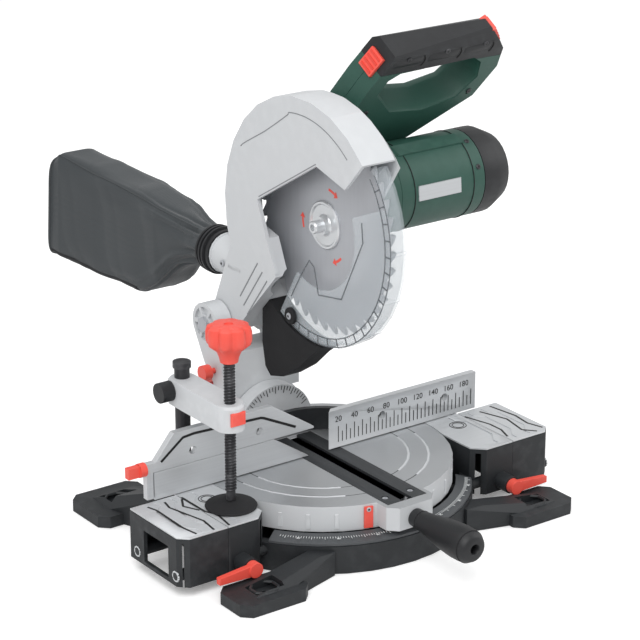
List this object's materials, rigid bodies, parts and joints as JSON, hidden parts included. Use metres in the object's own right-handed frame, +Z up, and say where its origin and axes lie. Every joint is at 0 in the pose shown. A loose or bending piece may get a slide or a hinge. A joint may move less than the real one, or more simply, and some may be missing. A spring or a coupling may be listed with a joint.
{
  "type": "mitre saw",
  "caption": "Compound mitre saw with a tilting chop head, turntable base, sliding fence, pull-out side tables, work clamp and dust bag.",
  "frame": {"origin": "centre of the bounding box, on the floor", "axes": "+X to the right of the user who faces the saw, +Y away from the user along the cut, +Z up"},
  "size_m": [0.4486, 0.6388, 0.4858],
  "materials": {
    "dark_casting": "black powder coat",
    "silver_casting": "silver powder coat",
    "brushed_aluminium": "brushed",
    "steel": "ground",
    "dark_steel": "blackened",
    "windings": "enamelled wire and laminations",
    "green_plastic": "fine texture",
    "black_plastic": "fine texture",
    "red_plastic": "satin",
    "dark_plate": "satin",
    "printed_scale": "printed",
    "clear_plastic": "clear",
    "rubber": "matt",
    "bag_cloth": "woven"
  },
  "bodies": {
    "base": {"base_casting": "dark_casting", "mitre_scale": "printed_scale", "wing_plate_left": "brushed_aluminium", "wing_plate_right": "brushed_aluminium", "fence_carrier": "dark_casting", "fence_right": "brushed_aluminium", "fence_left": "brushed_aluminium", "fence_screw_left": "dark_steel", "fence_screw_right": "dark_steel", "pivot_bolt": "steel"},
    "extension_left": {"extension_left": "dark_casting", "extension_top_left": "brushed_aluminium"},
    "extension_right": {"extension_right": "dark_casting", "extension_top_right": "brushed_aluminium"},
    "extension_lock_left": {"extension_lock_left": "red_plastic"},
    "extension_lock_right": {"extension_lock_right": "red_plastic"},
    "fence_slide": {"fence_slide": "brushed_aluminium"},
    "fence_lever": {"fence_lever": "red_plastic"},
    "turntable": {"turntable": "silver_casting", "kerf_plate_left": "dark_plate", "kerf_plate_right": "dark_plate", "kerf_screw_left": "steel", "kerf_screw_right": "steel", "mitre_pointer": "red_plastic", "bevel_hub": "silver_casting"},
    "mitre_grip": {"mitre_grip": "black_plastic"},
    "bevel": {"bevel_bracket": "silver_casting", "hinge_pin": "steel", "torsion_spring": "dark_steel"},
    "bevel_lever": {"bevel_lever": "red_plastic"},
    "travel_pin": {"travel_pin": "red_plastic"},
    "head": {"head_casting": "silver_casting", "gear_housing": "green_plastic", "motor_housing": "green_plastic", "motor_cap": "black_plastic", "stator": "windings", "arbor_bearing": "steel", "shaft_bearing": "steel", "chip_deflector": "rubber", "dust_port": "silver_casting", "bag_collar": "black_plastic", "dust_bag": "bag_cloth", "handle_front": "green_plastic", "handle_rear": "green_plastic", "grip_cover": "black_plastic"},
    "spindle_lock": {"spindle_lock": "red_plastic"},
    "trigger": {"trigger": "black_plastic"},
    "lock_button_left": {"lock_button_left": "red_plastic"},
    "lock_button_right": {"lock_button_right": "red_plastic"},
    "blade": {"saw_blade": "steel", "outer_flange": "steel", "blade_bolt": "dark_steel", "arbor": "steel"},
    "lower_guard": {"lower_guard": "clear_plastic"},
    "armature": {"armature": "windings"},
    "clamp_post": {"clamp_post": "dark_steel"},
    "clamp_arm": {"clamp_arm": "silver_casting"},
    "height_knob": {"height_knob": "black_plastic"},
    "clamp_pad": {"clamp_pad": "black_plastic"},
    "clamp_spindle": {"clamp_spindle": "dark_steel"}
  },
  "joints": [
    {"name": "extension_left_slide", "type": "slide", "parent": "base", "child": "extension_left", "axis": [-1, 0, 0], "range_m": [0, 0.1]},
    {"name": "extension_right_slide", "type": "slide", "parent": "base", "child": "extension_right", "axis": [1, 0, 0], "range_m": [0, 0.1]},
    {"name": "extension_lock_left_turn", "type": "hinge", "parent": "base", "child": "extension_lock_left", "pos_m": [-0.158, -0.18615, 0.021], "axis": [0, 1, 0], "range_deg": [0, 75]},
    {"name": "extension_lock_right_turn", "type": "hinge", "parent": "base", "child": "extension_lock_right", "pos_m": [0.158, -0.18615, 0.021], "axis": [0, -1, 0], "range_deg": [0, 75]},
    {"name": "fence_slide_travel", "type": "slide", "parent": "base", "child": "fence_slide", "axis": [-1, 0, 0], "range_m": [0, 0.07]},
    {"name": "fence_lever_turn", "type": "hinge", "parent": "fence_slide", "child": "fence_lever", "pos_m": [-0.2043, -0.07765, 0.0936], "axis": [1, 0, 0], "range_deg": [0, 90]},
    {"name": "mitre_turn", "type": "hinge", "parent": "base", "child": "turntable", "pos_m": [0, -0.08115, 0.034], "axis": [0, 0, 1], "range_deg": [-47, 47]},
    {"name": "grip_turn", "type": "hinge", "parent": "turntable", "child": "mitre_grip", "pos_m": [0, -0.23115, 0.046], "axis": [0, 1, 0], "range_deg": [0, 180]},
    {"name": "bevel_tilt", "type": "hinge", "parent": "turntable", "child": "bevel", "pos_m": [0, 0.01585, 0.06], "axis": [0, 1, 0], "range_deg": [-24, 2]},
    {"name": "bevel_lever_turn", "type": "hinge", "parent": "bevel", "child": "bevel_lever", "pos_m": [0, 0.04385, 0.06], "axis": [0, 1, 0], "range_deg": [-35, 0]},
    {"name": "travel_pin_push", "type": "slide", "parent": "bevel", "child": "travel_pin", "axis": [1, 0, 0], "range_m": [0, 0.006]},
    {"name": "head_chop", "type": "hinge", "parent": "bevel", "child": "head", "pos_m": [0, 0.05085, 0.167], "axis": [1, 0, 0], "range_deg": [0, 45], "stiffness_Nm_per_rad": 6, "springref_deg": -137.51, "deforming": ["torsion_spring", "chip_deflector"]},
    {"name": "guard_turn", "type": "hinge", "parent": "head", "child": "lower_guard", "pos_m": [0, -0.08815, 0.299], "axis": [-1, 0, 0], "range_deg": [0, 112.6]},
    {"name": "blade_spin", "type": "hinge", "parent": "head", "child": "blade", "pos_m": [0, -0.08815, 0.299], "axis": [1, 0, 0], "continuous": true},
    {"name": "armature_spin", "type": "hinge", "parent": "head", "child": "armature", "pos_m": [0, -0.09826, 0.32724], "axis": [1, 0, 0], "continuous": true},
    {"name": "spindle_lock_push", "type": "slide", "parent": "head", "child": "spindle_lock", "axis": [0, 0.6157, -0.788], "range_m": [0, 0.004], "stiffness_N_per_m": 400, "springref_m": -0.004},
    {"name": "trigger_pull", "type": "slide", "parent": "head", "child": "trigger", "axis": [0, -0.5299, 0.848], "range_m": [0, 0.005], "stiffness_N_per_m": 500, "springref_m": -0.004},
    {"name": "lock_button_left_push", "type": "slide", "parent": "head", "child": "lock_button_left", "axis": [0.9285, 0.1968, -0.315], "range_m": [0, 0.003], "stiffness_N_per_m": 400, "springref_m": -0.004},
    {"name": "lock_button_right_push", "type": "slide", "parent": "head", "child": "lock_button_right", "axis": [-0.7601, 0.3444, -0.5511], "range_m": [0, 0.003], "stiffness_N_per_m": 400, "springref_m": -0.004},
    {"name": "clamp_swivel", "type": "hinge", "parent": "base", "child": "clamp_post", "pos_m": [-0.144, -0.05215, 0.06], "axis": [0, 0, 1], "range_deg": [-40, 40]},
    {"name": "clamp_height", "type": "slide", "parent": "clamp_post", "child": "clamp_arm", "axis": [0, 0, 1], "range_m": [0, 0.011]},
    {"name": "height_knob_turn", "type": "hinge", "parent": "clamp_arm", "child": "height_knob", "pos_m": [-0.16, -0.05215, 0.154], "axis": [1, 0, 0], "range_deg": [0, 360]},
    {"name": "clamp_lift", "type": "slide", "parent": "clamp_arm", "child": "clamp_pad", "axis": [0, 0, 1], "range_m": [0, 0.0449]},
    {"name": "clamp_screw", "type": "hinge", "parent": "clamp_pad", "child": "clamp_spindle", "pos_m": [-0.144, -0.13315, 0.1], "axis": [0, 0, 1], "range_deg": [0, 5400]}
  ],
  "couplings": [
    {"joint": "guard_turn", "follows": "head_chop", "ratio": 2.5},
    {"joint": "armature_spin", "follows": "blade_spin", "ratio": -4.5556},
    {"joint": "clamp_screw", "follows": "clamp_lift", "rad_per_m": 2094.4}
  ]
}
